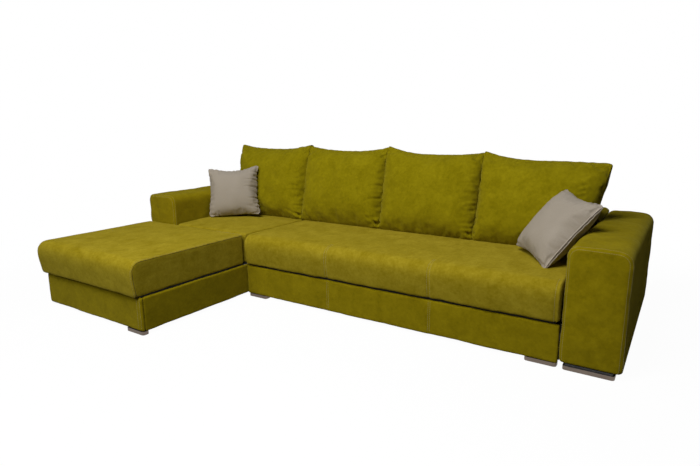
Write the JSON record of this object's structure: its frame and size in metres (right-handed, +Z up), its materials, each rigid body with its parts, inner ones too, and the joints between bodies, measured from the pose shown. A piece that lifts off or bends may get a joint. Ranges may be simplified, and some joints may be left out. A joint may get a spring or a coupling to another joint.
{
  "type": "corner sofa bed",
  "caption": "Corner sofa bed with a chaise over a lifting storage box, a roll-out seat, two padded arms, loose back cushions and throw pillows",
  "frame": {"origin": "middle of the footprint's bounding box, on the floor", "axes": "+X to the sitter-facing viewer's right along the long side, +Y from the open front to the back, +Z up; the chaise is at -X and reaches forward to -Y"},
  "size_m": [3.2, 2.128, 0.9693],
  "materials": {
    "seat_cloth": "soft suede-like woven microfibre",
    "cover_cloth": "suede-like woven microfibre drawn over board",
    "cushion_cloth": "suede-like woven microfibre over loose filling",
    "pillow_cloth": "plain linen-like weave",
    "frame_wood": "raw sawn softwood and board",
    "slat_wood": "smooth birch ply",
    "steel": "satin black powder coat",
    "foot_metal": "brushed satin",
    "wheel_plastic": "moulded"
  },
  "bodies": {
    "sofa_frame": {"back_front_panel": "cover_cloth", "back_rear_panel": "cover_cloth", "back_rib_1": "frame_wood", "back_rib_2": "frame_wood", "back_rib_3": "frame_wood", "back_top_pad": "cover_cloth", "chaise_cross_panel": "frame_wood", "chaise_foot_left": "foot_metal", "chaise_foot_right": "foot_metal", "chaise_front_panel": "cover_cloth", "chaise_left_panel": "cover_cloth", "chaise_right_panel": "cover_cloth", "chaise_storage_floor": "frame_wood", "corner_seat_board": "frame_wood", "corner_seat_pad": "seat_cloth", "left_arm_cover": "cover_cloth", "left_arm_frame": "frame_wood", "lift_plate_left": "steel", "lift_plate_right": "steel", "platform_front_rail": "frame_wood", "platform_leg_left": "frame_wood", "platform_leg_middle": "frame_wood", "platform_leg_right": "frame_wood", "platform_rear_rail": "frame_wood", "platform_slats": "slat_wood", "rear_foot_left": "foot_metal", "rear_foot_right": "foot_metal", "right_arm_cover": "cover_cloth", "right_arm_foot": "foot_metal", "right_arm_frame": "frame_wood", "slide_channel_left": "steel", "slide_channel_right": "steel"},
    "seat_module": {"seat_front_panel": "cover_cloth", "seat_side_frame_left": "steel", "seat_side_frame_right": "steel", "seat_rear_beam": "steel", "seat_centre_rail": "steel", "seat_slats": "slat_wood", "seat_pad": "seat_cloth", "seat_foot_left": "foot_metal", "seat_foot_right": "foot_metal"},
    "rear_links": {"lift_link_rear_left": "steel", "lift_link_rear_right": "steel", "lift_cross_tube": "steel"},
    "front_links": {"lift_link_front_left": "steel", "lift_link_front_right": "steel"},
    "storage_lid": {"chaise_lid_board": "frame_wood", "chaise_lid_pad": "seat_cloth", "lid_bracket_left": "steel", "lid_bracket_right": "steel"},
    "castor_front_left": {"wheel_front_left": "wheel_plastic"},
    "castor_front_right": {"wheel_front_right": "wheel_plastic"},
    "castor_rear_left": {"wheel_rear_left": "wheel_plastic"},
    "castor_rear_right": {"wheel_rear_right": "wheel_plastic"},
    "cushion_body_1": {"back_cushion_1": "cushion_cloth"},
    "cushion_body_2": {"back_cushion_2": "cushion_cloth"},
    "cushion_body_3": {"back_cushion_3": "cushion_cloth"},
    "cushion_body_4": {"back_cushion_4": "cushion_cloth"},
    "pillow_body_left": {"pillow_left": "pillow_cloth"},
    "pillow_body_right": {"pillow_right": "pillow_cloth"}
  },
  "joints": [
    {"name": "seat_slide", "type": "slide", "parent": "sofa_frame", "child": "seat_module", "axis": [0, -1, 0], "range_m": [0, 0.6]},
    {"name": "lid_lift", "type": "hinge", "parent": "sofa_frame", "child": "rear_links", "pos_m": [-1.124, -0.604, 0.13], "axis": [1, 0, 0], "range_deg": [0, 92]},
    {"name": "front_link_pivot", "type": "hinge", "parent": "sofa_frame", "child": "front_links", "pos_m": [-1.124, -0.954, 0.13], "axis": [1, 0, 0], "range_deg": [0, 92]},
    {"name": "lid_level", "type": "hinge", "parent": "rear_links", "child": "storage_lid", "pos_m": [-1.124, -0.31113, 0.195], "axis": [1, 0, 0], "range_deg": [-92, 0]},
    {"name": "castor_roll_front_left", "type": "hinge", "parent": "seat_module", "child": "castor_front_left", "pos_m": [-0.627, -0.124, 0.025], "axis": [1, 0, 0], "range_deg": [0, 1376]},
    {"name": "castor_roll_front_right", "type": "hinge", "parent": "seat_module", "child": "castor_front_right", "pos_m": [1.318, -0.124, 0.025], "axis": [1, 0, 0], "range_deg": [0, 1376]},
    {"name": "castor_roll_rear_left", "type": "hinge", "parent": "seat_module", "child": "castor_rear_left", "pos_m": [-0.627, 0.526, 0.025], "axis": [1, 0, 0], "range_deg": [0, 1376]},
    {"name": "castor_roll_rear_right", "type": "hinge", "parent": "seat_module", "child": "castor_rear_right", "pos_m": [1.318, 0.526, 0.025], "axis": [1, 0, 0], "range_deg": [0, 1376]},
    {"name": "cushion_lift_1", "type": "slide", "parent": "sofa_frame", "child": "cushion_body_1", "axis": [0, 0, 1], "range_m": [0, 0.5]},
    {"name": "cushion_lift_2", "type": "slide", "parent": "sofa_frame", "child": "cushion_body_2", "axis": [0, 0, 1], "range_m": [0, 0.5]},
    {"name": "cushion_lift_3", "type": "slide", "parent": "sofa_frame", "child": "cushion_body_3", "axis": [0, 0, 1], "range_m": [0, 0.5]},
    {"name": "cushion_lift_4", "type": "slide", "parent": "sofa_frame", "child": "cushion_body_4", "axis": [0, 0, 1], "range_m": [0, 0.5]},
    {"name": "pillow_lift_left", "type": "slide", "parent": "cushion_body_1", "child": "pillow_body_left", "axis": [0, 0, 1], "range_m": [0, 0.5]},
    {"name": "pillow_lift_right", "type": "slide", "parent": "cushion_body_4", "child": "pillow_body_right", "axis": [0, 0, 1], "range_m": [0, 0.5]}
  ],
  "couplings": [
    {"joint": "front_link_pivot", "follows": "lid_lift", "ratio": 1},
    {"joint": "lid_level", "follows": "lid_lift", "ratio": -1},
    {"joint": "castor_roll_front_left", "follows": "seat_slide", "rad_per_m": 40},
    {"joint": "castor_roll_front_right", "follows": "seat_slide", "rad_per_m": 40},
    {"joint": "castor_roll_rear_left", "follows": "seat_slide", "rad_per_m": 40},
    {"joint": "castor_roll_rear_right", "follows": "seat_slide", "rad_per_m": 40}
  ]
}
